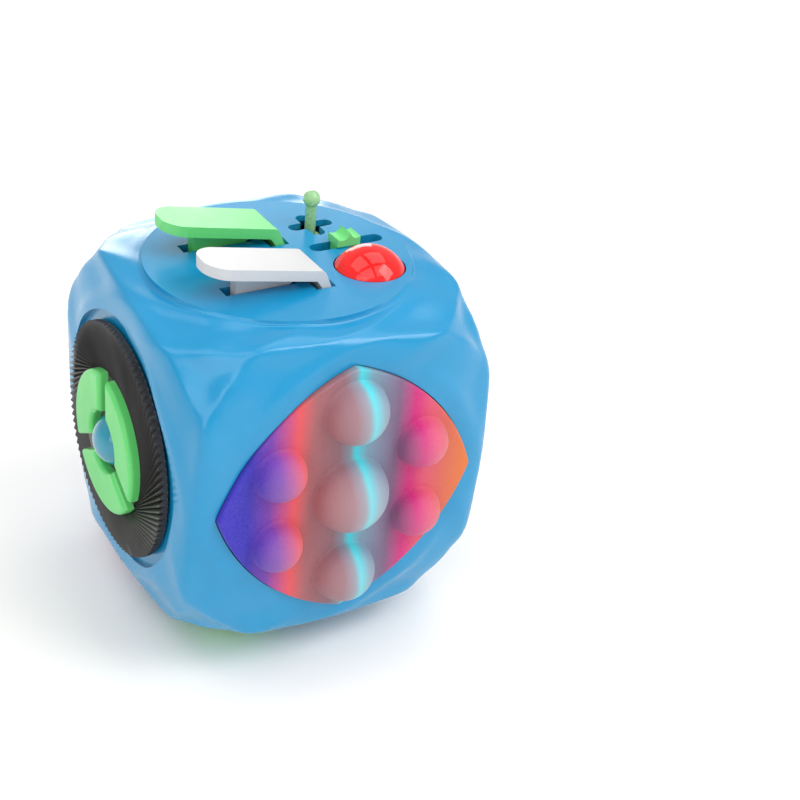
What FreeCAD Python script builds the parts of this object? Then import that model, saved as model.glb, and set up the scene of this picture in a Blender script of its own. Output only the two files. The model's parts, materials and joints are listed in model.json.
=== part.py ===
import FreeCAD, Part
import math
import os

from FreeCAD import Vector

# Swirl fidget cube: a hollow rounded cube with a different toy on each of its six sides.
# Lengths in mm. While modelling, the origin is the middle of the cube and +Z is the side
# with the two keys. Every piece is moved by PLACE at the end, so the kept frame has its
# origin under the middle of the object, on the plane that the two balls stand on.

# ---- driving dimensions -------------------------------------------------------------
HALF = 28.4                 # half the width across the crests of the body
BODY_POWER = 7.5            # exponent of the rounded cube
SIDE_DIP = 1.9              # how far each side lies below its crests
DIP_IN = 36.0               # angle from the side's axis where it starts to rise
DIP_OUT = 46.0              # and where it has risen to the full width
DISH_RADIUS = 20.5          # flat round floor of the top and bottom sides
DISH_LEVEL = 26.4           # height of that floor from the middle
WALL_LEVEL = 24.0           # inside face of the shell walls
SPIN_WALL = 22.5            # inside face of the wall behind the spinner
CAVITY_FILLET = 9.0
FLANGE_END = 17.0           # inner flanges stop short of the cavity's rounded edge

RIDGE_START = 143.0         # where the first ridge of a side begins, degrees
RIDGE_IN = 39.0             # angle of a ridge from the side's axis at its inner end
RIDGE_GROWTH = 14.0         # how far it opens out on its way to the next side
RIDGE_SPAN = 150.0          # turn over which it opens out
RIDGE_DEPTH = 4.4           # depth of the valley outside each ridge, before its slopes
RIDGE_DROP = 2.6            # width of the drop beside the crest
RIDGE_RISE = 4.5            # width over which the valley rises again

WINDOW = 21.05              # half diagonal of the maze and bubble windows
WINDOW_SIDE = 0.88          # bulge of the window's sides, share of the half diagonal
FIT = 0.12                  # gap around a piece that sits in a pocket

KEY_Y = 7.6                 # middle of each key
KEY_HALF = 4.0              # half width of a key
KEY_TIP = -16.4
KEY_AXIS_X = 2.9
KEY_AXIS_Z = 22.4
STICK_X = 10.0
STICK_Y = 8.3
STICK_AXIS_Z = 21.0
SLIDER_X = 12.25
SLIDER_Y = 0.6
DOME_X = 11.7
DOME_Y = -7.8
DOME_RADIUS = 5.3
DOME_HEIGHT = 3.1

BALL_RADIUS = 7.4
BALL_X = -11.3
BALL_Y = 10.6
BALL_Z = -24.4
STAND_Z = BALL_Z - BALL_RADIUS

MOUTH_X = 11.6
MOUTH_LONG = 13.8           # half length of the lens shaped button
MOUTH_WIDE = 7.3            # half width
MOUTH_FIT = 0.25

DISC_RADIUS = 18.6
DISC_FRONT = -26.9
ARC_OUT = 11.4
ARC_IN = 4.9
HUB_RADIUS = 3.6

CARRIER = 18.0              # upper face of the top carrier plate
PLACE = Vector(1.35, 1.3, -STAND_Z)

parts = {}


# ---- small helpers ------------------------------------------------------------------
def keep(name, *shapes):
    """Store the shapes of one piece under its plain name."""
    parts[name] = list(shapes)


def box(x0, x1, y0, y1, z0, z1):
    return Part.makeBox(x1 - x0, y1 - y0, z1 - z0, Vector(x0, y0, z0))


def rod(radius, start, end):
    start = Vector(*start)
    way = Vector(*end) - start
    return Part.makeCylinder(radius, way.Length, start, way)


def fuse(shapes):
    first = shapes[0]
    if len(shapes) == 1:
        return first
    return first.multiFuse(shapes[1:]).removeSplitter()


def extrude(points, way):
    """Prism over a polygon given as 3-D points."""
    wire = Part.makePolygon([Vector(*p) for p in points + points[:1]])
    return Part.Face(wire).extrude(Vector(*way))


def spring(radius, wire, x, y, z0, z1, turns):
    """Coil spring standing along Z."""
    height = z1 - z0 - wire
    pitch = height / turns
    path = Part.Wire(Part.makeHelix(pitch, height, radius).Edges)
    ring = Part.Wire(Part.makeCircle(wire / 2, Vector(radius, 0, 0), Vector(0, 1, 0)))
    coil = path.makePipeShell([ring], True, True)
    coil.translate(Vector(x, y, z0 + wire / 2))
    return coil


# ---- the rounded, swirled body --------------------------------------------------------
SIDES = [
    (Vector(0, 1, 0), Vector(0, 0, 1), Vector(1, 0, 0)),
    (Vector(0, -1, 0), Vector(0, 0, 1), Vector(-1, 0, 0)),
    (Vector(-1, 0, 0), Vector(0, 0, 1), Vector(0, 1, 0)),
    (Vector(1, 0, 0), Vector(0, 0, 1), Vector(0, -1, 0)),
    (Vector(1, 0, 0), Vector(0, 1, 0), Vector(0, 0, 1)),
    (Vector(1, 0, 0), Vector(0, -1, 0), Vector(0, 0, -1)),
]


def smooth(low, high, value):
    """0 below low, 1 above high, with a smooth rise between."""
    t = min(1.0, max(0.0, (value - low) / (high - low)))
    return t * t * (3 - 2 * t)


def ridge_angle(turn):
    """Angle of a ridge from the side's axis after a clockwise turn, degrees."""
    return RIDGE_IN + RIDGE_GROWTH * smooth(0, RIDGE_SPAN, turn)


def relief(way):
    """Depth of the swirl valleys below the rounded cube in one direction."""
    depth = 0.0
    for right, up, out in SIDES:
        polar = math.degrees(math.acos(max(-1.0, min(1.0, way.dot(out)))))
        if polar > 110:
            continue
        around = math.degrees(math.atan2(way.dot(up), way.dot(right)))
        for quarter in range(4):
            turn = (RIDGE_START - around + 90 * quarter + 60) % 360 - 60
            fade = smooth(-30, 15, turn) * (1 - smooth(85, 155, turn))
            off = math.radians(polar - ridge_angle(turn)) * HALF * 1.12
            if fade > 0 and off > 0:
                drop = 1 - math.exp(-(off / RIDGE_DROP) ** 1.5)
                depth += RIDGE_DEPTH * fade * drop * math.exp(-off / RIDGE_RISE)
    return depth


def body_radius(way):
    """Distance from the middle of the cube to its skin in one direction."""
    reach = [abs(way.x), abs(way.y), abs(way.z)]
    total = sum(c ** BODY_POWER for c in reach)
    polar = math.degrees(math.acos(min(1.0, max(reach))))
    dip = SIDE_DIP * (1 - smooth(DIP_IN, DIP_OUT, polar))
    return HALF / total ** (1 / BODY_POWER) - dip - relief(way)


def skin_row(polar, steps):
    """Poles around the body at one angle from +Z."""
    row = []
    for step in range(steps):
        around = 2 * math.pi * step / steps
        side = math.sin(polar)
        way = Vector(side * math.cos(around), side * math.sin(around), math.cos(polar))
        row.append(way * body_radius(way))
    return row


def half_body():
    """Solid upper half of the cube, closed by its dish floor and the parting plane."""
    steps = 180
    rows = 54
    first = math.atan2(DISH_RADIUS, DISH_LEVEL)
    grid = []
    for row in range(rows):
        polar = first + (math.pi / 2 - first) * row / (rows - 1)
        if row == 0:
            ring = [Vector(DISH_RADIUS * math.cos(2 * math.pi * s / steps),
                           DISH_RADIUS * math.sin(2 * math.pi * s / steps),
                           DISH_LEVEL) for s in range(steps)]
        else:
            ring = skin_row(polar, steps)
        if row == rows - 1:
            ring = [Vector(p.x, p.y, 0) for p in ring]
        grid.append(ring)
    poles = [[grid[row][step] for row in range(rows)] for step in range(steps)]
    surface = Part.BSplineSurface()
    spans = rows - 3
    surface.buildFromPolesMultsKnots(
        poles, [1] * (steps + 1), [4] + [1] * (spans - 1) + [4],
        [float(i) for i in range(steps + 1)], [float(i) for i in range(spans + 1)],
        True, False, 3, 3)
    skin = surface.toShape()
    caps = []
    for edge in skin.Edges:
        heights = [v.z for v in edge.discretize(8)]
        if max(heights) - min(heights) < 1e-6:
            caps.append(Part.Face(Part.Wire(edge)))
    solid = Part.Solid(Part.makeShell([skin] + caps))
    solid.fix(1e-6, 1e-6, 1e-6)
    return solid


def cavity():
    """Space inside both shells."""
    room = box(-SPIN_WALL, WALL_LEVEL, -WALL_LEVEL, WALL_LEVEL, -WALL_LEVEL, WALL_LEVEL)
    return room.makeFillet(CAVITY_FILLET, room.Edges)


# ---- outlines on a side --------------------------------------------------------------
def window_wire(half, side=WINDOW_SIDE):
    """Four pointed outline with bulged sides, in the XY plane."""
    mid = half * side / math.sqrt(2)
    tips = [Vector(half, 0, 0), Vector(0, half, 0), Vector(-half, 0, 0), Vector(0, -half, 0)]
    mids = [Vector(mid, mid, 0), Vector(-mid, mid, 0), Vector(-mid, -mid, 0), Vector(mid, -mid, 0)]
    edges = [Part.Arc(tips[i], mids[i], tips[(i + 1) % 4]).toShape() for i in range(4)]
    return Part.Wire(edges)


def on_side(shape, side, level=0.0):
    """Stand a shape drawn in XY on a side of the cube; its +Z becomes the outward way."""
    turned = shape.copy()
    turns = {
        "+X": (Vector(1, 1, 1), 120),
        "-X": (Vector(1, 1, -1), -120),
        "-Y": (Vector(1, 0, 0), 90),
        "+Y": (Vector(0, 1, 1), 180),
        "+Z": (Vector(0, 0, 1), 0),
        "-Z": (Vector(1, 0, 0), 180),
    }
    axis, angle = turns[side]
    turned.translate(Vector(0, 0, level))
    turned.rotate(Vector(0, 0, 0), axis, angle)
    return turned


def plate(wire, low, high, round_tips=0.0):
    """Prism over a flat wire between two levels."""
    solid = Part.Face(wire).extrude(Vector(0, 0, high - low))
    if round_tips:
        tall = [e for e in solid.Edges if abs(e.tangentAt(e.FirstParameter).z) > 0.99]
        solid = solid.makeFillet(round_tips, tall)
    solid.translate(Vector(0, 0, low))
    return solid


def disc(radius, low, high, x=0.0, y=0.0):
    return Part.makeCylinder(radius, high - low, Vector(x, y, low))


# ---- shells ----------------------------------------------------------------------------
def side_pockets():
    """Openings of the four upright sides, and the well for the spinner's bearing."""
    tools = [on_side(plate(window_wire(WINDOW + FIT), 20, 30, 2.5), "+X")]
    tools.append(on_side(plate(window_wire(WINDOW + FIT), 20, 30, 1.0), "-Y"))
    tools.append(on_side(plate(diamond_wire(PYRAMID + FIT), 24.6, 30, 3.0), "+Y"))
    tools.append(on_side(plate(diamond_wire(PYRAMID - 4), 20, 30, 2.0), "+Y"))
    tools.append(on_side(disc(DISC_RADIUS + 1.6, 24.9, 30), "-X"))
    tools.append(on_side(disc(7.2, 22.6, 30), "-X"))
    tools.append(on_side(disc(2.03, 18, 30), "-X"))
    return tools


def dowel_places():
    reach = 31.6 / math.sqrt(2)
    return [(sx * reach, sy * reach) for sx in (1, -1) for sy in (1, -1)]


TOP_POSTS = [(-15.5, 15.0), (-15.5, -15.0), (16.5, 15.0), (16.5, -15.0)]
LOW_POSTS = [(-18.3, 0.0), (-1.0, 17.8), (-1.0, -17.8), (16.0, 17.0), (16.0, -17.0)]


def gate_arm(length, half, turn):
    """One arm of the joystick's cross shaped gate, leaf shaped with a round end."""
    arm = box(0, length - half, -half, half, 20, 30)
    arm = arm.fuse(disc(half, 20, 30, length - half, 0))
    arm.rotate(Vector(0, 0, 0), Vector(0, 0, 1), turn)
    arm.translate(Vector(STICK_X, STICK_Y, 0))
    return arm


def top_openings():
    """Everything cut through the top side."""
    tools = [gate_arm(3.75, 1.1, turn) for turn in (0, 90, 180, 270)]
    tools.append(disc(5.0, 20, 25.4, STICK_X, STICK_Y))
    ends = [disc(1.25, 20, 30, SLIDER_X + s * 5.0, SLIDER_Y) for s in (-1, 1)]
    middle = box(SLIDER_X - 5, SLIDER_X + 5, SLIDER_Y - 1.25, SLIDER_Y + 1.25, 20, 30)
    tools += ends + [middle]
    tools.append(disc(DOME_RADIUS + 0.2, 20, 30, DOME_X, DOME_Y))
    for y in (KEY_Y, -KEY_Y):
        tools.append(box(-12.6, -0.9, y - 1.3, y + 1.3, 20, 30))
        tools.append(box(0.6, 3.85, y - KEY_HALF - 0.25, y + KEY_HALF + 0.25, 20, 30))
    return tools


def bottom_openings():
    """Everything cut through the bottom side."""
    tools = [Part.makeSphere(BALL_RADIUS + 0.1, Vector(BALL_X, s * BALL_Y, BALL_Z)) for s in (1, -1)]
    tools.append(lens(MOUTH_LONG + 0.5, MOUTH_WIDE + MOUTH_FIT, -30, -20))
    return tools


def spinner_boss():
    return on_side(disc(9.2, 20.2, 23.5), "-X")


def shell(upper, outer, room, pockets):
    """One half of the body: skin, cavity, openings, screw posts and dowel holes."""
    sign = 1 if upper else -1
    outer = outer.copy()
    if not upper:
        outer.rotate(Vector(0, 0, 0), Vector(1, 0, 0), 180)
    half_space = box(-40, 40, -40, 40, 0, 40)
    if not upper:
        half_space = box(-40, 40, -40, 40, -40, 0)
    solid = outer.cut(room)
    boss = spinner_boss().common(half_space)
    posts = TOP_POSTS if upper else LOW_POSTS
    floor = CARRIER if upper else LOW_CARRIER
    columns = [rod(2.2, (x, y, sign * floor), (x, y, sign * 24.6)) for x, y in posts]
    solid = solid.multiFuse([boss] + columns)
    tools = pockets + (top_openings() if upper else bottom_openings())
    tools += [rod(0.87, (x, y, sign * 16), (x, y, sign * 21.4)) for x, y in posts]
    tools += [rod(0.72, (x, y, -3.1), (x, y, 3.1)) for x, y in dowel_places()]
    return solid.cut(tools)


# ---- top side: keys, joystick, slider, dome button -------------------------------------
def key(y):
    """Key with a folded lip that reaches down to its pivot, and a wedge shaped rib."""
    profile = [(KEY_TIP + 0.15, 32.4), (-12.8, 31.85), (2.0, 29.0), (3.1, 26.4), (3.55, 22.4),
               (2.2, 22.4), (1.6, 26.4), (0.75, 27.55), (-13.0, 30.15), (KEY_TIP, 30.7)]
    low = y - KEY_HALF
    blade = extrude([(x, low, z) for x, z in profile], (0, 2 * KEY_HALF, 0))
    fold = [e for e in blade.Edges
            if abs(e.CenterOfMass.x - 2.0) < 0.01 and abs(e.CenterOfMass.z - 29.0) < 0.01]
    blade = blade.makeFillet(1.1, fold)
    plan = box(KEY_TIP, 6, low, y + KEY_HALF, 15, 40)
    ends = [e for e in plan.Edges
            if abs(e.CenterOfMass.x - KEY_TIP) < 0.01 and abs(e.CenterOfMass.z - 27.5) < 0.01]
    blade = blade.common(plan.makeFillet(3.7, ends))
    rib = extrude([(x, y - 1.0, z) for x, z in
                   [(-10.9, 30.3), (-10.9, 21.6), (-9.0, 21.6), (0.2, 27.9), (0.2, 28.4)]], (0, 2, 0))
    barrel = rod(1.3, (KEY_AXIS_X, low, KEY_AXIS_Z), (KEY_AXIS_X, y + KEY_HALF, KEY_AXIS_Z))
    bore = rod(0.8, (KEY_AXIS_X, low - 1, KEY_AXIS_Z), (KEY_AXIS_X, y + KEY_HALF + 1, KEY_AXIS_Z))
    return fuse([blade, rib, barrel]).cut(bore)


def key_spring(y):
    return spring(1.1, 0.4, -10.0, y, 17.2, 21.6, 4)


def key_pin():
    return rod(0.75, (KEY_AXIS_X, -13.7, KEY_AXIS_Z), (KEY_AXIS_X, 13.7, KEY_AXIS_Z))


def joystick():
    """Stick with a round knob, a flange under the gate and a ball shaped foot."""
    foot = Part.makeSphere(2.2, Vector(STICK_X, STICK_Y, STICK_AXIS_Z))
    foot = foot.cut(box(STICK_X - 3, STICK_X + 3, STICK_Y - 3, STICK_Y + 3, 17, 19.0))
    stem = disc(0.87, STICK_AXIS_Z, 30.9, STICK_X, STICK_Y)
    flange = disc(1.65, 24.3, 24.7, STICK_X, STICK_Y)
    knob = Part.makeSphere(1.37, Vector(STICK_X, STICK_Y, 30.9))
    bore = rod(0.65, (STICK_X, STICK_Y - 4, STICK_AXIS_Z), (STICK_X, STICK_Y + 4, STICK_AXIS_Z))
    return fuse([foot, stem, flange, knob]).cut(bore)


def joystick_pin():
    return rod(0.6, (STICK_X, STICK_Y - 3.8, STICK_AXIS_Z), (STICK_X, STICK_Y + 3.8, STICK_AXIS_Z))


def joystick_socket():
    """Two cheeks on a base plate; the stick's pin turns in them."""
    base = box(STICK_X - 3, STICK_X + 3, STICK_Y - 3.8, STICK_Y + 3.8, CARRIER, CARRIER + 0.5)
    cheeks = [box(STICK_X - 2, STICK_X + 2, STICK_Y + s, STICK_Y + s + 1.2, CARRIER, 22.4)
              for s in (-3.8, 2.6)]
    bore = rod(0.63, (STICK_X, STICK_Y - 5, STICK_AXIS_Z), (STICK_X, STICK_Y + 5, STICK_AXIS_Z))
    well = disc(1.5, 17, 20, STICK_X, STICK_Y)
    return fuse([base] + cheeks).cut([bore, well])


def joystick_spring():
    return spring(1.1, 0.3, STICK_X, STICK_Y, CARRIER, 18.75, 2)


def slider_knob():
    """Thumb knob with a sharp ridge between two finger scoops, on a neck."""
    x = SLIDER_X - 0.4
    left = Part.Arc(Vector(x - 1.95, 0, 27.9), Vector(x - 1.0, 0, 27.65), Vector(x + 0.2, 0, 28.7))
    right = Part.Arc(Vector(x + 0.2, 0, 28.7), Vector(x + 1.0, 0, 27.8), Vector(x + 1.95, 0, 28.0))
    corners = [Vector(x + 1.95, 0, 28.0), Vector(x + 1.95, 0, 26.6),
               Vector(x - 1.95, 0, 26.6), Vector(x - 1.95, 0, 27.9)]
    wire = Part.Wire([left.toShape(), right.toShape()] + Part.makePolygon(corners).Edges)
    knob = Part.Face(wire).extrude(Vector(0, 3.2, 0))
    knob.translate(Vector(0, SLIDER_Y - 1.6, 0))
    neck = box(x - 1.8, x + 1.8, SLIDER_Y - 1.0, SLIDER_Y + 1.0, 23.0, 27.0)
    return fuse([knob, neck])


def slider_shoe():
    """U shaped plate under the wall that grips the knob's neck and keeps it in its slot."""
    x = SLIDER_X - 0.4
    shoe = box(x - 3.3, x + 1.1, SLIDER_Y - 1.9, SLIDER_Y + 1.9, 22.7, 23.7)
    return shoe.cut(box(x - 1.8, x + 1.8, SLIDER_Y - 1.0, SLIDER_Y + 1.0, 23.0, 24.0))


def slider_guide():
    """Channel under the shoe, standing on the carrier."""
    length = (SLIDER_X - 7.4, SLIDER_X + 7.4)
    block = box(length[0], length[1], SLIDER_Y - 1.9, SLIDER_Y + 1.9, CARRIER, 22.4)
    return block.cut(box(length[0] - 1, length[1] + 1, SLIDER_Y - 1.1, SLIDER_Y + 1.1, 19.0, 23))


def cap_of_sphere(radius, height, level, x, y):
    """Part of a sphere that stands on a flat circle."""
    ball_radius = (radius ** 2 + height ** 2) / (2 * height)
    ball = Part.makeSphere(ball_radius, Vector(x, y, level + height - ball_radius))
    return ball.common(disc(radius, level, level + height + 1, x, y))


def dome_button():
    """Glossy dome on a skirt that slides in the top wall, stopped by a flange."""
    dome = cap_of_sphere(DOME_RADIUS, DOME_HEIGHT, DISH_LEVEL, DOME_X, DOME_Y)
    skirt = disc(DOME_RADIUS, 22.9, DISH_LEVEL, DOME_X, DOME_Y)
    flange = disc(5.9, 22.9, 23.7, DOME_X, DOME_Y).common(box(0, FLANGE_END, -20, 20, 20, 30))
    return fuse([dome, skirt, flange]).cut(disc(3.6, 22, 25.0, DOME_X, DOME_Y))


def dome_spring():
    return spring(2.6, 0.5, DOME_X, DOME_Y, CARRIER, 25.0, 5)


def top_carrier():
    """Plate under the top mechanisms, with the posts that hold the key pin."""
    base = box(-18.2, 19.2, -17, 17, CARRIER - 1.4, CARRIER)
    base = base.makeFillet(3, [e for e in base.Edges if abs(e.tangentAt(0).z) > 0.99])
    posts = [box(KEY_AXIS_X - 1.3, KEY_AXIS_X + 1.3, y - 0.7, y + 0.7, CARRIER - 0.5, 23.6)
             for y in (-12.6, 0, 12.6)]
    tools = [rod(0.75, (KEY_AXIS_X, -20, KEY_AXIS_Z), (KEY_AXIS_X, 20, KEY_AXIS_Z))]
    tools += [disc(1.5, 17.2, 19, -10.0, y) for y in (KEY_Y, -KEY_Y)]
    tools += [disc(1.0, 16, 19, x, y) for x, y in TOP_POSTS]
    return fuse([base] + posts).cut(tools)


def screw(x, y, head, tip):
    """Pan head screw with a plain shank and a hexagon socket."""
    way = 1 if tip > head else -1
    shank = rod(0.85, (x, y, head), (x, y, tip))
    top = rod(1.6, (x, y, head), (x, y, head - 1.0 * way))
    points = [(x + 0.75 * math.cos(math.radians(60 * i)), y + 0.75 * math.sin(math.radians(60 * i)),
               head - 1.0 * way) for i in range(6)]
    return fuse([shank, top]).cut(extrude(points, (0, 0, 0.6 * way)))


# ---- bottom side: two balls and the mouth button ----------------------------------------
LOW_CARRIER = 18.6


def lens(long_half, wide_half, low, high):
    """Prism over two arcs that meet in sharp tips, long way along Y."""
    tips = [Vector(MOUTH_X, -long_half, 0), Vector(MOUTH_X, long_half, 0)]
    east = Part.Arc(tips[0], Vector(MOUTH_X + wide_half, 0, 0), tips[1]).toShape()
    west = Part.Arc(tips[1], Vector(MOUTH_X - wide_half, 0, 0), tips[0]).toShape()
    solid = Part.Face(Part.Wire([east, west])).extrude(Vector(0, 0, high - low))
    solid.translate(Vector(0, 0, low))
    return solid


def mouth_button():
    """Lens shaped button with a crowned face and a flange that keeps it in."""
    block = lens(MOUTH_LONG, MOUTH_WIDE, STAND_Z, -23.0)
    crown = rod(160, (MOUTH_X - 30, 0, STAND_Z + 160), (MOUTH_X + 30, 0, STAND_Z + 160))
    block = block.common(crown)
    flange = lens(MOUTH_LONG + 1.2, MOUTH_WIDE + 1.1, -23.7, -22.7)
    flange = flange.common(box(0, FLANGE_END, -20, 20, -30, -20))
    seats = [rod(2.2, (MOUTH_X, y, -24.4), (MOUTH_X, y, -20)) for y in (-5.5, 5.5)]
    return fuse([block, flange]).cut(seats)


def mouth_springs():
    return [spring(1.6, 0.5, MOUTH_X, y, -24.4, -LOW_CARRIER, 3) for y in (-5.5, 5.5)]


def roller(side):
    return Part.makeSphere(BALL_RADIUS, Vector(BALL_X, side * BALL_Y, BALL_Z))


def low_carrier():
    """Plate above the bottom mechanisms with a cup around the top of each ball."""
    base = box(-20.2, 19, -19.5, 19.5, -LOW_CARRIER, -LOW_CARRIER + 1.4)
    base = base.makeFillet(4, [e for e in base.Edges if abs(e.tangentAt(0).z) > 0.99])
    cups = [rod(8.7, (BALL_X, s * BALL_Y, -20.9), (BALL_X, s * BALL_Y, -16.0)) for s in (1, -1)]
    tools = [Part.makeSphere(BALL_RADIUS + 0.12, Vector(BALL_X, s * BALL_Y, BALL_Z)) for s in (1, -1)]
    tools += [rod(1.0, (x, y, -20), (x, y, -16)) for x, y in LOW_POSTS]
    clear = [rod(2.3, (x, y, -24), (x, y, -LOW_CARRIER)) for x, y in LOW_POSTS]
    return fuse([base] + cups).cut(tools + clear)


# ---- spinner on the -X side -------------------------------------------------------------
def spinner_disc():
    """Flat disc with a hub at the back that holds the bearing's outer ring."""
    front = -DISC_FRONT
    face = disc(DISC_RADIUS, front - 1.5, front)
    face = face.makeChamfer(0.35, face.Edges)
    hub = disc(6.4, 23.0, front - 0.7)
    seat = disc(5.0, 22, front - 1.0)
    return on_side(fuse([face, hub]).cut(seat), "-X")


def spinner_arc(turn):
    """One third of the raised green ring, with rounded edges."""
    front = -DISC_FRONT
    ring = disc(ARC_OUT, front, front + 1.7).cut(disc(ARC_IN, front - 1, front + 3))
    gap = box(0, 20, -1.25, 1.25, front - 1, front + 3)
    ends = []
    for angle in (0, 120):
        tool = gap.copy()
        tool.rotate(Vector(0, 0, 0), Vector(0, 0, 1), angle)
        ends.append(tool)
    points = [(0, 0, front - 1)]
    points += [(30 * math.cos(math.radians(a)), 30 * math.sin(math.radians(a)), front - 1)
               for a in (0, 40, 80, 120)]
    arc = ring.common(extrude(points, (0, 0, 5))).cut(ends)
    upper = [e for e in arc.Edges if e.BoundBox.ZMin > front + 1.69]
    arc = arc.makeFillet(0.7, upper)
    arc.rotate(Vector(0, 0, 0), Vector(0, 0, 1), turn)
    return on_side(arc, "-X")


def spinner_cap():
    return on_side(cap_of_sphere(HUB_RADIUS, 2.0, -DISC_FRONT, 0, 0), "-X")


def bearing_outer():
    ring = disc(5.0, 23.2, 25.4).cut(disc(4.1, 22, 27))
    groove = Part.makeTorus(3.5, 0.82, Vector(0, 0, 24.3), Vector(0, 0, 1))
    return on_side(ring.cut(groove), "-X")


def bearing_inner():
    ring = disc(2.9, 23.2, 25.4).cut(disc(2.0, 22, 27))
    groove = Part.makeTorus(3.5, 0.82, Vector(0, 0, 24.3), Vector(0, 0, 1))
    return on_side(ring.cut(groove), "-X")


def bearing_balls():
    balls = []
    for i in range(8):
        angle = math.radians(45 * i)
        centre = Vector(3.5 * math.cos(angle), 3.5 * math.sin(angle), 24.3)
        balls.append(on_side(Part.makeSphere(0.78, centre), "-X"))
    return balls


def spinner_axle():
    """Flanged axle clamped between the two shells, through the bearing."""
    stem = disc(2.0, 18.9, 25.4)
    collar = disc(3.0, 18.9, 20.1)
    shoulder = disc(2.6, 22.65, 23.1)
    return on_side(fuse([stem, collar, shoulder]), "-X")


# ---- bubbles on the -Y side --------------------------------------------------------------
BUBBLES = [(0, 0, 6.1, 5.8, 3.6)]
BUBBLES += [(0, s * 14.0, 5.0, 4.9, 2.8) for s in (1, -1)]
BUBBLES += [(sx * 11.75, sy * 6.2, 4.1, 4.0, 2.4) for sx in (1, -1) for sy in (1, -1)]
PAD_FRONT = 26.4
PAD_BACK = 24.9


def pop_bubble(x, y, radius, height):
    """Thin dome with a short skirt that slides in the pad."""
    dome = fuse([cap_of_sphere(radius, height, PAD_FRONT, x, y), disc(radius, PAD_BACK, PAD_FRONT, x, y)])
    inside = cap_of_sphere(radius - 0.9, height - 0.9, PAD_FRONT, x, y)
    hollow = fuse([inside, disc(radius - 0.9, PAD_BACK - 1, PAD_FRONT, x, y)])
    return on_side(dome.cut(hollow), "-Y")


def pop_pad():
    """Soft sheet that fills the window around the bubbles."""
    sheet = plate(window_wire(WINDOW), PAD_BACK, PAD_FRONT, 1.0)
    holes = [disc(b[2] + 0.12, 20, 30, b[0], b[1]) for b in BUBBLES]
    return on_side(sheet.cut(holes), "-Y")


def pop_frame():
    """Stiff frame behind the sheet, open behind every bubble."""
    frame = plate(window_wire(WINDOW - 0.5), PAD_BACK - 1.6, PAD_BACK, 1.0)
    holes = [disc(b[2] + 0.3, 20, 30, b[0], b[1]) for b in BUBBLES]
    return on_side(frame.cut(holes), "-Y")


# ---- maze on the +X side ------------------------------------------------------------------
MAZE_FLOOR = 21.8
MAZE_TOP = 24.75
WINDOW_FACE = 26.0
WALL = 1.05
RINGS = [0.80, 0.62, 0.42, 0.23]
RING_ARCS = [
    [(-32, 9), (21, 43), (56, 154), (163.5, 195), (205, 236), (248, 281), (292, 314)],
    [(-12, 87), (99, 191), (205, 273), (286, 331)],
    [(-38, 37), (60, 131), (151, 172), (189, 298)],
    [(-60, 99), (134, 266)],
]
LINKS = [(9, 0.80, 0.95), (107, 0.80, 0.95), (248, 0.80, 0.95), (43, 0.62, 0.80),
         (136, 0.62, 0.80), (195, 0.62, 0.80), (205, 0.62, 0.80), (314, 0.62, 0.80),
         (26, 0.42, 0.62), (331, 0.42, 0.62), (151, 0.42, 0.62), (241, 0.42, 0.62),
         (0, 0.23, 0.42), (75, 0.23, 0.42), (215, 0.23, 0.42)]


def outline_reach(turn):
    """Distance from the middle to the window's outline, share of its half diagonal."""
    swing = abs((turn % 90) - 45) / 45
    return WINDOW_SIDE + (1 - WINDOW_SIDE) * swing ** 1.6


def sector(start, end):
    """Wedge around the middle; angles run clockwise from +Z seen from +X."""
    count = max(2, int((end - start) / 30) + 1)
    points = [(0, 0, 15)]
    for i in range(count + 1):
        angle = math.radians(90 - (start + (end - start) * i / count))
        points.append((40 * math.cos(angle), 40 * math.sin(angle), 15))
    return extrude(points, (0, 0, 20))


def link_wall(turn, inner, outer):
    """Straight wall between two rings."""
    reach = outline_reach(turn) * WINDOW
    wall = box(inner * reach, outer * reach, -WALL / 2, WALL / 2, MAZE_FLOOR + 0.02, MAZE_TOP)
    wall.rotate(Vector(0, 0, 0), Vector(0, 0, 1), 90 - turn)
    return wall


def maze_walls():
    pieces = []
    for scale, arcs in zip(RINGS, RING_ARCS):
        outer = plate(window_wire(scale * WINDOW + WALL / 2), MAZE_FLOOR + 0.02, MAZE_TOP)
        band = outer.cut(plate(window_wire(scale * WINDOW - WALL / 2), MAZE_FLOOR - 1, MAZE_TOP + 1))
        for start, end in arcs:
            pieces += band.common(sector(start, end)).Solids
    pieces += [link_wall(*link) for link in LINKS]
    return [on_side(s, "+X") for s in fuse(pieces).Solids]


def maze_tray():
    """Dark floor of the maze with a low rim."""
    tray = plate(window_wire(WINDOW), MAZE_FLOOR - 1.2, MAZE_TOP, 2.5)
    room = plate(window_wire(WINDOW * 0.965), MAZE_FLOOR, MAZE_TOP + 1, 2.5)
    return on_side(tray.cut(room), "+X")


def maze_window():
    return on_side(plate(window_wire(WINDOW), MAZE_TOP, WINDOW_FACE, 2.5), "+X")


def maze_ball():
    return Part.makeSphere(1.3, Vector(MAZE_FLOOR + 1.45, 0, 0))


# ---- pyramid on the +Y side ----------------------------------------------------------------
PYRAMID = 20.5              # half diagonal before its corners are rounded
PYRAMID_BASE = 26.0
PYRAMID_TIP = 29.6


def diamond_wire(half):
    points = [Vector(half, 0, 0), Vector(0, half, 0), Vector(-half, 0, 0), Vector(0, -half, 0)]
    return Part.makePolygon(points + points[:1])


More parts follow.
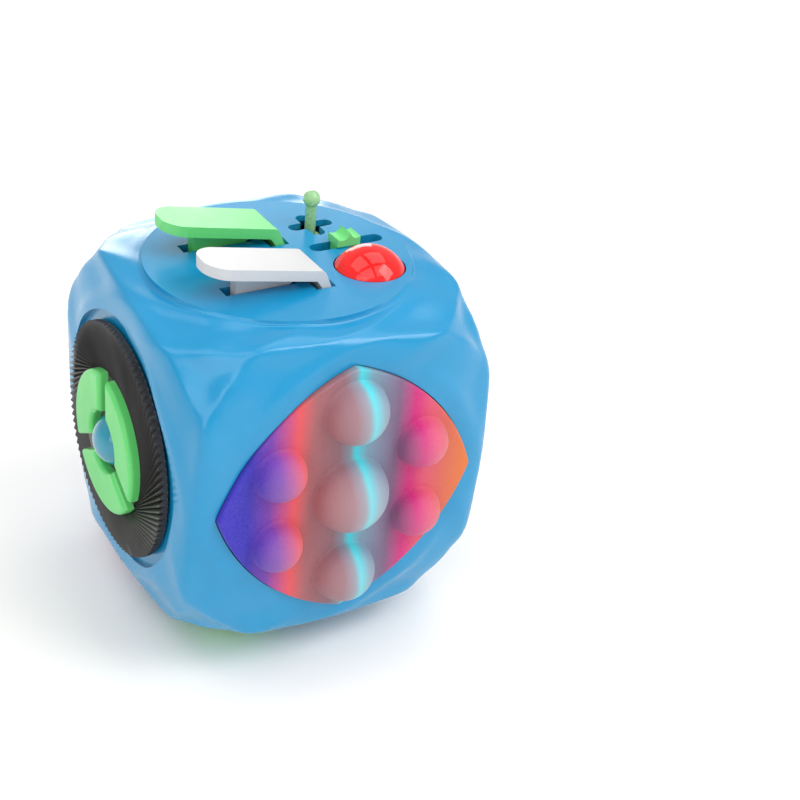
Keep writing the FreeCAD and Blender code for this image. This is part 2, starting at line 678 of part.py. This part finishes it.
def pyramid_cap():
    """Low four sided pyramid with rounded corners on a flat slab and a short stem."""
    corners = [Vector(PYRAMID, 0, PYRAMID_BASE), Vector(0, PYRAMID, PYRAMID_BASE),
               Vector(-PYRAMID, 0, PYRAMID_BASE), Vector(0, -PYRAMID, PYRAMID_BASE)]
    tip = Vector(0, 0, PYRAMID_TIP)
    faces = [Part.Face(Part.makePolygon([corners[i], corners[(i + 1) % 4], tip, corners[i]]))
             for i in range(4)]
    faces.append(Part.Face(Part.makePolygon(corners + corners[:1])))
    peak = Part.Solid(Part.makeShell(faces))
    peak = peak.common(plate(diamond_wire(PYRAMID), PYRAMID_BASE, PYRAMID_TIP + 1, 3.0))
    slab = plate(diamond_wire(PYRAMID), 24.7, PYRAMID_BASE, 3.0)
    stem = plate(diamond_wire(PYRAMID - 4.2), 23.4, 25.0, 2.0)
    bores = [disc(0.7, 20, 25.5, x, 0) for x in (-6, 6)]
    return on_side(fuse([peak, slab, stem]).cut(bores), "+Y")


def pyramid_retainer():
    """Plate inside the wall that clamps the pyramid's stem."""
    clamp = disc(16.6, 22.0, 23.4)
    return on_side(clamp.cut([disc(0.75, 20, 25, x, 0) for x in (-6, 6)]), "+Y")


def pyramid_screws():
    screws = []
    for x in (-6, 6):
        shank = disc(0.7, 22.0, 25.3, x, 0)
        head = disc(1.4, 21.0, 22.0, x, 0)
        slot = box(x - 2, x + 2, -0.2, 0.2, 20.5, 21.4)
        screws.append(on_side(fuse([shank, head]).cut(slot), "+Y"))
    return screws


# ---- build everything ------------------------------------------------------------------------
def build():
    outer = half_body()
    room = cavity()
    pockets = side_pockets()
    keep("upper_shell", shell(True, outer, room, pockets))
    keep("lower_shell", shell(False, outer, room, pockets))
    keep("shell_dowels", *[rod(0.7, (x, y, -3), (x, y, 3)) for x, y in dowel_places()])
    keep("top_carrier", top_carrier())
    keep("top_carrier_screws", *[screw(x, y, CARRIER - 1.4, 21.2) for x, y in TOP_POSTS])
    keep("key_pivot_pin", key_pin())
    keep("green_key", key(KEY_Y))
    keep("white_key", key(-KEY_Y))
    keep("green_key_spring", key_spring(KEY_Y))
    keep("white_key_spring", key_spring(-KEY_Y))
    keep("joystick", joystick())
    keep("joystick_pin", joystick_pin())
    keep("joystick_socket", joystick_socket())
    keep("joystick_spring", joystick_spring())
    keep("slider_knob", slider_knob())
    keep("slider_shoe", slider_shoe())
    keep("slider_guide", slider_guide())
    keep("dome_button", dome_button())
    keep("dome_button_spring", dome_spring())
    keep("red_ball", roller(1))
    keep("green_ball", roller(-1))
    keep("mouth_button", mouth_button())
    keep("mouth_button_springs", *mouth_springs())
    keep("lower_carrier", low_carrier())
    keep("lower_carrier_screws", *[screw(x, y, 1.4 - LOW_CARRIER, -21.2) for x, y in LOW_POSTS])
    keep("spinner_disc", spinner_disc())
    keep("spinner_arcs", *[spinner_arc(turn) for turn in (30, 150, 270)])
    keep("spinner_cap", spinner_cap())
    keep("spinner_bearing_outer", bearing_outer())
    keep("spinner_bearing_inner", bearing_inner())
    keep("spinner_bearing_balls", *bearing_balls())
    keep("spinner_axle", spinner_axle())
    keep("pop_pad", pop_pad())
    keep("pop_frame", pop_frame())
    for number, bubble in enumerate(BUBBLES, 1):
        keep("pop_bubble_%d" % number, pop_bubble(*bubble[:4]))
    keep("maze_tray", maze_tray())
    keep("maze_walls", *maze_walls())
    keep("maze_window", maze_window())
    keep("maze_ball", maze_ball())
    keep("pyramid_cap", pyramid_cap())
    keep("pyramid_retainer", pyramid_retainer())
    keep("pyramid_screws", *pyramid_screws())


def export():
    os.makedirs("parts", exist_ok=True)
    for name, shapes in parts.items():
        solids = [solid for shape in shapes for solid in shape.Solids]
        whole = solids[0] if len(solids) == 1 else Part.makeCompound(solids)
        whole.translate(PLACE)
        whole.exportStep("parts/%s.step" % name)


build()
export()
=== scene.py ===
import json
import math

import bmesh
import bpy
from mathutils import Matrix, Vector


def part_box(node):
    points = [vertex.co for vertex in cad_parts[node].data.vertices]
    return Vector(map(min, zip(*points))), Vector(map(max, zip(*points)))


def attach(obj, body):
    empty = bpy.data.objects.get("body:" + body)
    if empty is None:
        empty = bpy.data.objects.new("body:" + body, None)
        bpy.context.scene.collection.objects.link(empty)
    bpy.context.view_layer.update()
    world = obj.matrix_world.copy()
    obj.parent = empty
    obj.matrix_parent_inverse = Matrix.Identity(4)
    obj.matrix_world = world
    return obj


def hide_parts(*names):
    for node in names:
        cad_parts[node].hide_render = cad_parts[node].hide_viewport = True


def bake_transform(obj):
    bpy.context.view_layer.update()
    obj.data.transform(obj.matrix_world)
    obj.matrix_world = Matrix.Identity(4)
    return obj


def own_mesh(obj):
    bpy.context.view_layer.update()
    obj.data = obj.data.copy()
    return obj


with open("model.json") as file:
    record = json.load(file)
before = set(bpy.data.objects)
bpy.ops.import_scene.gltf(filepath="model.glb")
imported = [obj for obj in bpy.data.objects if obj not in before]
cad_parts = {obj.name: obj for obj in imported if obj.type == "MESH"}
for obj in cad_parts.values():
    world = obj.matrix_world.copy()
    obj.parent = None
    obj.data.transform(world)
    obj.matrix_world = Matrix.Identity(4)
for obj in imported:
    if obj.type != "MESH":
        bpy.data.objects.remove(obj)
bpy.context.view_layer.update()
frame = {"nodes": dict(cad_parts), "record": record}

MM = 0.001


# ---- places, all from the frame -------------------------------------------------------
def middle_of_cube():
    """Middle of the cube: the shells share it, and part at its height."""
    low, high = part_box("upper_shell")
    return Vector(((low[0] + high[0]) / 2, (low[1] + high[1]) / 2, low[2]))


CENTRE = middle_of_cube()


def at(x, y, z):
    """A point given in mm from the middle of the cube."""
    return CENTRE + Vector((x, y, z)) * MM


# ---- material helpers --------------------------------------------------------------------
class Nodes:
    """Short names for building a node tree."""

    def __init__(self, name):
        self.material = bpy.data.materials.new(name)
        self.material.use_nodes = True
        self.tree = self.material.node_tree
        self.shader = self.tree.nodes["Principled BSDF"]
        self.coords = self.add("ShaderNodeTexCoord").outputs["Object"]

    def add(self, kind, **values):
        node = self.tree.nodes.new(kind)
        for key, value in values.items():
            setattr(node, key, value)
        return node

    def link(self, out, socket):
        self.tree.links.new(out, socket)

    def noise(self, scale, detail, rough=0.55, stretch=(1, 1, 1)):
        place = self.add("ShaderNodeMapping")
        place.inputs["Scale"].default_value = stretch
        self.link(self.coords, place.inputs["Vector"])
        node = self.add("ShaderNodeTexNoise")
        node.inputs["Scale"].default_value = scale
        node.inputs["Detail"].default_value = detail
        node.inputs["Roughness"].default_value = rough
        self.link(place.outputs["Vector"], node.inputs["Vector"])
        return node.outputs["Fac"]

    def remap(self, value, low, high, to_low, to_high):
        node = self.add("ShaderNodeMapRange")
        for key, number in (("From Min", low), ("From Max", high), ("To Min", to_low), ("To Max", to_high)):
            node.inputs[key].default_value = number
        self.link(value, node.inputs["Value"])
        return node.outputs["Result"]

    def mix(self, factor, first, second):
        """Mix two colours; each is an output or a plain colour."""
        node = self.add("ShaderNodeMix", data_type="RGBA")
        for socket, value in ((node.inputs[0], factor), (node.inputs[6], first), (node.inputs[7], second)):
            if hasattr(value, "is_linked"):
                self.link(value, socket)
            elif isinstance(value, (int, float)):
                socket.default_value = value
            else:
                socket.default_value = (*value, 1)
        return node.outputs[2]

    def edges(self, low, high):
        """0 on flat surface, 1 on worn outer edges."""
        wear = self.add("ShaderNodeNewGeometry").outputs["Pointiness"]
        return self.remap(wear, low, high, 0, 1)

    def bump(self, height, strength, distance):
        node = self.add("ShaderNodeBump")
        node.inputs["Strength"].default_value = strength
        node.inputs["Distance"].default_value = distance
        self.link(height, node.inputs["Height"])
        self.link(node.outputs["Normal"], self.shader.inputs["Normal"])

    def put(self, socket, value):
        if hasattr(value, "is_linked"):
            self.link(value, self.shader.inputs[socket])
        else:
            self.shader.inputs[socket].default_value = value


def plastic(name, colour, rough, coat, vary, wear, grain=1.0, through=0.0):
    """Moulded plastic: slight mottling and fine grain, and paler worn edges where wear is above 0."""
    n = Nodes(name)
    dark = tuple(c * (1 - vary) for c in colour)
    pale = tuple(min(1.0, c * (1 + vary) + 0.01) for c in colour)
    base = n.mix(n.remap(n.noise(90, 3), 0.3, 0.7, 0, 1), dark, pale)
    if wear:
        worn = tuple(min(1.0, c + wear) for c in colour)
        base = n.mix(n.edges(0.58, 0.70), base, worn)
    n.put("Base Color", base)
    n.put("Roughness", n.remap(n.noise(420, 5), 0.25, 0.75, rough * 0.86, rough * 1.16))
    n.put("Coat Weight", coat)
    n.put("Coat Roughness", 0.05)
    n.put("IOR", 1.49)
    n.put("Transmission Weight", through)
    n.bump(n.noise(2600, 2), 0.12 * grain, 0.00006)
    return n.material


def steel(name):
    """Drawn steel with fine scratches."""
    n = Nodes(name)
    colour = (0.62, 0.62, 0.64)
    lines = n.noise(700, 3, 0.6, (1, 1, 12))
    base = n.mix(n.remap(lines, 0.3, 0.7, 0, 1), tuple(c * 0.85 for c in colour), colour)
    n.put("Base Color", base)
    n.put("Metallic", 1.0)
    n.put("Roughness", n.remap(lines, 0.3, 0.7, 0.2, 0.38))
    n.bump(lines, 0.15, 0.00004)
    return n.material


def silicone(name, stops):
    """Matte silicone printed with bands of colour across the pad; the raised crowns carry a painted
    highlight, paler towards their tops.
    """
    n = Nodes(name)
    split = n.add("ShaderNodeSeparateXYZ")
    n.link(n.coords, split.inputs[0])
    half = (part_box("pop_pad")[1][0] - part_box("pop_pad")[0][0]) / 2
    across = n.remap(split.outputs["X"], CENTRE.x - half, CENTRE.x + half, 0, 1)
    wander = n.remap(n.noise(160, 2), 0, 1, -0.006, 0.006)
    total = n.add("ShaderNodeMath", operation="ADD")
    n.link(across, total.inputs[0])
    n.link(wander, total.inputs[1])
    ramp = n.add("ShaderNodeValToRGB")
    n.link(total.outputs[0], ramp.inputs["Fac"])
    band = ramp.color_ramp
    while len(band.elements) > 2:
        band.elements.remove(band.elements[-1])
    for index, (place, colour) in enumerate(stops):
        if index == 0:
            stop = band.elements[0]
            stop.position = place
        elif index == len(stops) - 1:
            stop = band.elements[len(band.elements) - 1]
            stop.position = place
        else:
            stop = band.elements.new(place)
        stop.color = (*colour, 1)
    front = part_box("pop_pad")[0][1]
    highlight_start = 1.8 * MM         # over the sheet, where the painted highlight on the crowns starts
    highlight_full = 5.6 * MM
    # painted highlight: the crowns are mixed towards pale pink, standing in for light falling on the raised
    # bubbles
    crown = n.remap(split.outputs["Y"], front - highlight_full, front - highlight_start, 0.20, 0)
    print_and_painted_highlight = n.mix(crown, ramp.outputs["Color"], (0.66, 0.47, 0.48))
    speck = n.mix(n.remap(n.noise(4000, 2), 0.35, 0.65, 0, 0.05), print_and_painted_highlight, (0.45, 0.40, 0.42))
    n.put("Base Color", speck)
    n.put("Roughness", n.remap(n.noise(900, 4), 0.3, 0.7, 0.55, 0.72))
    n.put("Sheen Weight", 0.12)
    n.put("Sheen Roughness", 0.5)
    n.put("Specular IOR Level", 0.35)
    n.bump(n.noise(4500, 3), 0.15, 0.00005)
    return n.material


def glass(name):
    """Clear acrylic: mostly see-through, mirror-like, with faint haze and hairline scuffs."""
    n = Nodes(name)
    haze = n.remap(n.noise(60, 3), 0.3, 0.7, 0, 1)
    n.put("Base Color", n.mix(haze, (0.008, 0.012, 0.012), (0.016, 0.02, 0.02)))
    n.put("Roughness", n.remap(n.noise(500, 5), 0.35, 0.8, 0.012, 0.06))
    n.put("Alpha", 0.28)
    n.put("IOR", 1.65)
    n.material.surface_render_method = "BLENDED"
    return n.material


def srgb(r, g, b):
    """Linear colour of a screen colour given as 0 to 255."""
    return tuple((c / 255) ** 2.2 for c in (r, g, b))


# Colours across the pad, from its left edge at 0 to its right edge at 1.
BANDS = [(0.00, srgb(50, 38, 175)), (0.11, srgb(45, 38, 165)), (0.19, srgb(112, 54, 158)),
         (0.285, srgb(215, 76, 82)), (0.345, srgb(158, 94, 98)), (0.45, srgb(140, 102, 112)),
         (0.493, srgb(128, 140, 155)), (0.515, srgb(60, 200, 212)), (0.56, srgb(112, 146, 165)),
         (0.675, srgb(118, 88, 122)), (0.745, srgb(195, 25, 115)), (0.80, srgb(205, 72, 105)),
         (0.90, srgb(202, 98, 72)), (1.00, srgb(212, 112, 38))]

# Each plastic: name, colour, roughness, coat, mottling, wear, grain, see-through share.
LOOKS = {
    "body_shell": plastic("blue_body", (0.002, 0.252, 0.50), 0.235, 0.08, 0.02, 0.0, 0.05),
    "inner_parts": plastic("inner_dark_blue", (0.004, 0.075, 0.14), 0.45, 0.0, 0.10, 0.05),
    "green_parts": plastic("light_green", (0.10, 0.60, 0.14), 0.32, 0.05, 0.05, 0.12),
    "white_parts": plastic("key_white", (0.57, 0.57, 0.575), 0.33, 0.0, 0.03, 0.05),
    "stick_plastic": plastic("pale_green_clear", (0.36, 0.66, 0.32), 0.28, 0.2, 0.05, 0.10, 1.0, 0.25),
    "red_parts": plastic("glossy_red", (0.88, 0.003, 0.003), 0.05, 0.0, 0.04, 0.01, 0.05),
    "black_parts": plastic("glossy_black", (0.008, 0.008, 0.009), 0.12, 0.6, 0.15, 0.02, 0.2),
    "spinner_black": plastic("pleated_black", (0.040, 0.038, 0.038), 0.36, 0.0, 0.15, 0.05),
    "hub_plastic": plastic("clear_teal", (0.015, 0.36, 0.52), 0.06, 0.6, 0.05, 0.05, 0.1, 0.35),
    "pop_silicone": silicone("printed_silicone", BANDS),
    "maze_dark": plastic("maze_floor_black", (0.004, 0.006, 0.005), 0.6, 0.0, 0.2, 0.02),
    "maze_green": plastic("maze_wall_green", (0.20, 0.60, 0.16), 0.42, 0.0, 0.08, 0.05),
    "clear_window": glass("clear_acrylic"),
    "steel": steel("plain_steel"),
}


def dress_nodes():
    """Give every CAD node the finish of its slot."""
    for part in frame["record"]["subparts"]:
        node = frame["nodes"][part["node"]]
        for index in range(len(node.material_slots)):
            node.material_slots[index].material = LOOKS[part["material_slot"]]


# ---- mesh helpers --------------------------------------------------------------------------
ROUND = 96              # sides of a body of revolution


def piece(name, bm, look, smooth=True):
    """Turn a bmesh into a named object with one finish."""
    bmesh.ops.recalc_face_normals(bm, faces=bm.faces)
    mesh = bpy.data.meshes.new(name)
    bm.to_mesh(mesh)
    bm.free()
    for face in mesh.polygons:
        face.use_smooth = smooth
    obj = bpy.data.objects.new(name, mesh)
    bpy.context.scene.collection.objects.link(obj)
    obj.data.materials.append(LOOKS[look])
    return obj


def revolve(profile, steps, place):
    """Closed body of revolution; profile runs from the axis back to the axis.

    place(radius, angle, level) gives the point, so that a shape may vary around the axis.
    """
    bm = bmesh.new()
    rings = []
    for radius, level in profile:
        if radius == 0:
            rings.append([bm.verts.new(place(0, 0, level))])
        else:
            rings.append([bm.verts.new(place(radius, 2 * math.pi * i / steps, level)) for i in range(steps)])
    for low, high in zip(rings, rings[1:]):
        for i in range(steps):
            j = (i + 1) % steps
            corners = [low[i % len(low)], low[j % len(low)], high[j % len(high)], high[i % len(high)]]
            unique = list(dict.fromkeys(corners))
            if len(unique) > 2:
                bm.faces.new(unique)
    return bm


# ---- pop bubbles -----------------------------------------------------------------------------
def dome_level(r, radius, height, soft=0.16):
    """Height of the silicone over its sheet, with a soft foot."""
    ball = (radius ** 2 + height ** 2) / (2 * height)
    if r <= radius:
        level = math.sqrt(ball ** 2 - r ** 2) - (ball - height)
    else:
        level = -(r - radius) * radius / (ball - height + 0.6)
    return (level + math.sqrt(level ** 2 + soft ** 2)) / 2


def pop_bubble(number):
    """Silicone dome with a flared foot; its foot stays on the pad while its crown goes in."""
    node = "pop_bubble_%d" % number
    low, high = (Vector(v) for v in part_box(node))
    radius = (high.x - low.x) / 2 / MM
    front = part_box("pop_pad")[0][1]
    height = (front - low.y) / MM
    middle = Vector(((low.x + high.x) / 2, front, (low.z + high.z) / 2))
    count = 40
    wall = 0.9
    flare = 1.3
    reach = radius + flare
    outer = []
    for i in range(count + 1):
        r = reach * math.sin(math.pi / 2 * i / count)
        outer.append((r, dome_level(r, radius, height)))
    inner = []
    for i in range(count, -1, -1):
        r = (radius - wall) * math.sin(math.pi / 2 * i / count)
        level = dome_level(r, radius - wall, height - wall - 0.05, 0.2) - 0.05
        inner.append((r, max(level, -0.25)))
    profile = outer + [(reach, -0.3), (radius - 0.6, -0.3)] + inner

    def place(r, angle, level):
        return (middle.x + r * math.cos(angle) * MM, middle.y - level * MM,
                middle.z + r * math.sin(angle) * MM)

    obj = piece("silicone_bubble_%d" % number, revolve(profile, ROUND, place), "pop_silicone")
    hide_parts(node)
    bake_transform(obj)


# ---- window sheets -------------------------------------------------------------------------------
WINDOW_HALF = (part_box("pop_pad")[1][0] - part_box("pop_pad")[0][0]) / 2 / MM
WINDOW_SIDE = 0.88      # how far a side's middle reaches, as a share of a circle's
WINDOW_STEPS = 40       # points along each side
# The rolled front edge, as (inset, level) in mm.
ROLL = [(0.3 * (1 - math.cos(math.pi / 8 * i)), 0.3 * (math.sin(math.pi / 8 * i) - 1)) for i in range(5)]


def window_points(half, side, count):
    """Outline of the windows: four pointed, each side an arc."""
    mid = half * side / math.sqrt(2)
    chord = half * math.sqrt(2)
    rise = (mid - half / 2) * math.sqrt(2)
    arc = (chord ** 2 / 4 + rise ** 2) / (2 * rise)
    centre_dist = half / 2 * math.sqrt(2) - (arc - rise)
    sweep = math.asin(chord / 2 / arc)
    points = []
    for quarter in range(4):
        facing = math.pi / 4 + quarter * math.pi / 2
        cx = centre_dist * math.cos(facing)
        cy = centre_dist * math.sin(facing)
        for i in range(count):
            angle = facing - sweep + 2 * sweep * i / count
            points.append((cx + arc * math.cos(angle), cy + arc * math.sin(angle)))
    return points


def window_sheet(name, look, levels, place):
    """Sheet that fills a window; levels are (inset, level) in mm from its back to its front."""
    points = window_points(WINDOW_HALF, WINDOW_SIDE, WINDOW_STEPS)
    bm = bmesh.new()
    rings = []
    for inset, level in levels:
        scale = 1 - inset / WINDOW_HALF
        rings.append([bm.verts.new(place(u * scale * MM, v * scale * MM, level * MM)) for u, v in points])
    for a, b in zip(rings, rings[1:]):
        for i in range(len(points)):
            j = (i + 1) % len(points)
            bm.faces.new((a[i], a[j], b[j], b[i]))
    bm.faces.new(rings[0])
    bm.faces.new(rings[-1])
    return piece(name, bm, look, smooth=False)


def pop_sheet():
    """The bubble pad's flat sheet, with a rolled front edge."""
    low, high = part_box("pop_pad")

    def place(u, v, level):
        return (CENTRE.x + u, low[1] - level, CENTRE.z + v)

    back = (low[1] - high[1]) / MM
    obj = window_sheet("silicone_sheet", "pop_silicone", [(0, back)] + ROLL, place)
    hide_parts("pop_pad")
    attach(obj, "cube")


def maze_pane():
    """The maze's clear window, just clear of the walls behind it."""
    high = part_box("maze_window")[1]

    def place(u, v, level):
        return (high[0] + level, CENTRE.y + u, CENTRE.z + v)

    obj = window_sheet("maze_pane", "clear_window", [(0, -1.0)] + ROLL, place)
    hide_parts("maze_window")
    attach(obj, "cube")


# ---- spinner -----------------------------------------------------------------------------------
def spinner_disc():
    """Disc with straight pleats that leave the ring of grips at a tangent, and a notched rim."""
    low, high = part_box("spinner_disc")
    radius = (high[1] - low[1]) / 2 / MM
    front = low[0]
    pleats = 96
    parts = 4           # steps around each pleat
    ring = 11.0         # where the pleats leave the ring of grips
    deep = 0.9
    notch = 0.2

    def share(angle):
        return round(angle * pleats * parts / (2 * math.pi)) % parts / parts

    def place(r, angle, level):
        depth = level
        spread = r
        swirl = math.acos(ring / r) if r > ring else 0
        if level < 0.3 and r > ring:
            grow = min(1.0, 0.35 + (r - ring) / (radius - ring))
            depth = level + deep * grow * (1 - share(angle)) ** 2.2
        if r > radius - 0.02:
            spread = r - notch * (1 - share(angle))
        turned = angle - swirl
        return (front + depth * MM, CENTRE.y + spread * math.cos(turned) * MM,
                CENTRE.z + spread * math.sin(turned) * MM)

    profile = [(0, 0), (3, 0), (8, 0), (ring, 0)]
    count = 14
    profile += [(ring + (radius - 0.1 - ring) * (i / count) ** 1.5, 0) for i in range(1, count + 1)]
    # The rim, then a hollow boss behind the disc.
    boss, bore, back = 6.4, 5.0, 3.9
    profile += [(radius, 0.12), (radius, 1.35), (radius - 0.15, 1.5), (boss, 1.5)]
    profile += [(boss, back), (bore, back), (bore, 1.0), (0, 1.0)]
    obj = piece("pleated_disc", revolve(profile, pleats * parts, place), "spinner_black", smooth=False)
    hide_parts("spinner_disc")
    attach(obj, "spinner")


def hub_dome():
    """Clear dome over the end of the axle, standing proud of the grips."""
    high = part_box("spinner_cap")[1]
    radius = 4.05
    height = 2.8
    gap = 0.01              # keeps its base off the face behind it
    count = 24
    ball = (radius ** 2 + height ** 2) / (2 * height)
    reach = math.asin(radius / ball)
    profile = [(0, height)]
    for i in range(1, count + 1):
        lean = reach * i / count
        profile.append((ball * math.sin(lean), ball * math.cos(lean) - ball + height + 2 * gap))
    profile += [(radius - 0.1, gap), (0, gap)]

    def place(r, angle, level):
        return (high[0] - level * MM, CENTRE.y + r * math.cos(angle) * MM,
                CENTRE.z + r * math.sin(angle) * MM)

    obj = piece("hub_dome", revolve(profile, ROUND, place), "hub_plastic")
    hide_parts("spinner_cap")
    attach(obj, "spinner")


# ---- springs under the buttons -------------------------------------------------------------------
def coil(name, node, wire, turns, side=0):
    """Coil spring under a button, fixed to the cube at one length; wire is its diameter in mm.

    Side picks one of a pair along Y.
    """
    low, high = (Vector(v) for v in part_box(node))
    outer = (high.x - low.x) / 2
    radius = outer - wire / 2 * MM
    across = {0: (low.y + high.y) / 2, -1: low.y + outer, 1: high.y - outer}[side]
    rise = high.z - low.z - wire * MM
    count = round(turns * 28)       # steps along the wire
    sides = 10                      # sides around it
    bm = bmesh.new()
    rings = []
    for i in range(count + 1):
        angle = 2 * math.pi * turns * i / count
        ring = []
        for k in range(sides):
            turn = 2 * math.pi * k / sides
            reach = radius + wire / 2 * MM * math.cos(turn)
            level = low.z + wire / 2 * MM * (1 + math.sin(turn)) + rise * i / count
            ring.append(bm.verts.new(((low.x + high.x) / 2 + reach * math.cos(angle),
                                      across + reach * math.sin(angle), level)))
        rings.append(ring)
    for a, b in zip(rings, rings[1:]):
        for k in range(sides):
            bm.faces.new((a[k], a[(k + 1) % sides], b[(k + 1) % sides], b[k]))
    bm.faces.new(rings[0])
    bm.faces.new(rings[-1])
    obj = piece(name, bm, "steel")
    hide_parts(node)
    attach(obj, "cube")
    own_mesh(obj)


def springs():
    """The coils under the keys, the red dome and the lens-shaped button."""
    coil("green_key_coil", "green_key_spring", 0.4, 4)
    coil("white_key_coil", "white_key_spring", 0.4, 4)
    coil("dome_button_coil", "dome_button_spring", 0.5, 5)
    for side in (-1, 1):
        coil("mouth_button_coil_%d" % ((side + 3) // 2), "mouth_button_springs",
             0.5, 3, side)


# ---- studio ---------------------------------------------------------------------------------------
FLOOR_HALF = 1.6        # half the floor's side, in metres


def floor():
    """Wide pale floor, a shade warm so that the blue cube's bounce leaves it neutral."""
    n = Nodes("pale_floor")
    cloud = n.remap(n.noise(14, 3), 0.3, 0.7, 0, 1)
    n.put("Base Color", n.mix(cloud, (0.91, 0.895, 0.875), (0.93, 0.915, 0.895)))
    n.put("Roughness", 0.75)
    n.bump(n.noise(900, 3), 0.05, 0.0001)
    bm = bmesh.new()
    bmesh.ops.create_grid(bm, x_segments=24, y_segments=24, size=FLOOR_HALF)
    mesh = bpy.data.meshes.new("studio_floor")
    bm.to_mesh(mesh)
    bm.free()
    obj = bpy.data.objects.new("studio_floor", mesh)
    bpy.context.scene.collection.objects.link(obj)
    obj.data.materials.append(n.material)


def softbox(name, place, aim, size, power):
    """White rectangular area light that faces a point."""
    data = bpy.data.lights.new(name, "AREA")
    data.shape = "RECTANGLE"
    data.size, data.size_y = size
    data.energy = power
    obj = bpy.data.objects.new(name, data)
    bpy.context.scene.collection.objects.link(obj)
    obj.location = place
    obj.rotation_euler = (Vector(aim) - Vector(place)).to_track_quat("-Z", "Y").to_euler()


def studio():
    """Soft studio: a pale backdrop, a window of four panes overhead, a key box and three fill boxes."""
    scene = bpy.context.scene
    scene.view_settings.view_transform = "Standard"
    world = bpy.data.worlds.new("studio")
    scene.world = world
    world.use_nodes = True
    tree = world.node_tree
    back = tree.nodes["Background"]
    coords = tree.nodes.new("ShaderNodeTexCoord")
    split = tree.nodes.new("ShaderNodeSeparateXYZ")
    ramp = tree.nodes.new("ShaderNodeValToRGB")
    lift = tree.nodes.new("ShaderNodeMapRange")
    lift.inputs["From Min"].default_value = -1
    tree.links.new(coords.outputs["Generated"], split.inputs[0])
    tree.links.new(split.outputs["Z"], lift.inputs["Value"])
    tree.links.new(lift.outputs["Result"], ramp.inputs["Fac"])
    tree.links.new(ramp.outputs["Color"], back.inputs["Color"])
    # (height, grey) from straight down at 0 to straight up at 1
    stops = [(0.0, 0.90), (0.5, 0.92), (0.56, 0.84), (0.62, 0.50), (0.78, 0.68), (1.0, 0.30)]
    ramp.color_ramp.elements[0].position = stops[0][0]
    ramp.color_ramp.elements[1].position = stops[-1][0]
    for place, _ in stops[1:-1]:
        ramp.color_ramp.elements.new(place)
    for stop, (place, grey) in zip(ramp.color_ramp.elements, stops):
        stop.position = place
        stop.color = (grey, grey, grey, 1)
    back.inputs["Strength"].default_value = 1.0
    spread = 600
    for i in (-1, 1):
        for j in (-1, 1):
            over = at(-40 + spread * i, -280 + spread * j, 1320)
            softbox("pane_%d%d" % (i + 1, j + 1), over, over - Vector((0, 0, 1)), (1.0, 1.0), 5.2)
    softbox("key_box", at(820, -780, 1080), CENTRE, (0.90, 0.90), 9.5)
    softbox("front_box", at(360, -1260, 330), CENTRE, (0.90, 0.90), 0.3)
    softbox("back_box", at(370, 1040, 180), CENTRE, (0.50, 0.50), 2.6)
    softbox("side_box", at(-1080, -660, 620), CENTRE, (0.66, 0.90), 3.4)


def camera():
    """Camera at the photograph's angle: from the front left, above, with a slight roll."""
    azimuth = math.radians(-27.9)
    height = math.radians(31.3)
    roll = math.radians(3.0)
    distance = 254 * MM
    data = bpy.data.cameras.new("photo_camera")
    data.sensor_width = 36
    data.lens = 71.5185
    data.shift_x = 0.164125
    data.shift_y = 0.006625
    data.clip_start = 0.01
    obj = bpy.data.objects.new("photo_camera", data)
    bpy.context.scene.collection.objects.link(obj)
    back = Vector((math.sin(azimuth) * math.cos(height),
                   -math.cos(azimuth) * math.cos(height),
                   math.sin(height)))
    right = Vector((math.cos(azimuth), math.sin(azimuth), 0))
    up = back.cross(right)
    r = right * math.cos(roll) + up * math.sin(roll)
    u = -right * math.sin(roll) + up * math.cos(roll)
    turn = Matrix((r, u, back)).transposed().to_4x4()
    obj.matrix_world = Matrix.Translation(CENTRE + back * distance) @ turn
    bpy.context.scene.camera = obj


dress_nodes()
for number in range(1, 8):
    pop_bubble(number)
pop_sheet()
maze_pane()
spinner_disc()
hub_dome()
springs()
floor()
studio()
camera()
